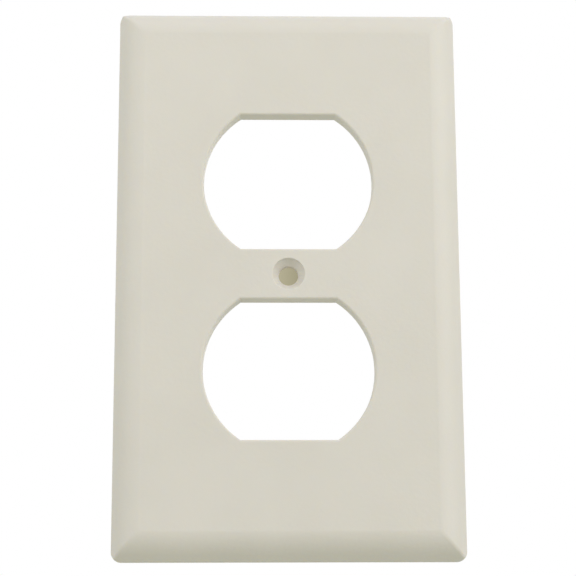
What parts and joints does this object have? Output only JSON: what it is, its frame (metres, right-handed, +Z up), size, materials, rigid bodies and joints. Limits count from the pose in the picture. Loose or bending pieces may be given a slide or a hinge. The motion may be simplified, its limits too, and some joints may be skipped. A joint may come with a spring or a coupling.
{
  "type": "duplex receptacle wall plate",
  "caption": "Upright rectangular wall plate with curved mitred edges, two flat-sided round receptacle openings and a countersunk centre screw hole.",
  "frame": {"origin": "where the axis of the cover screw's hole meets the wall plane, which the plate's rim lies on; this is also the middle of the plate's width and height", "axes": "+Z up the plate's height, X along its width, -Y out of the face towards the room, so the wall is on the +Y side"},
  "size_m": [0.0698, 0.0056, 0.1142],
  "materials": {
    "moulded_plastic": "light almond, low gloss"
  },
  "bodies": {
    "root": {"wall_plate": "moulded_plastic"}
  },
  "joints": []
}
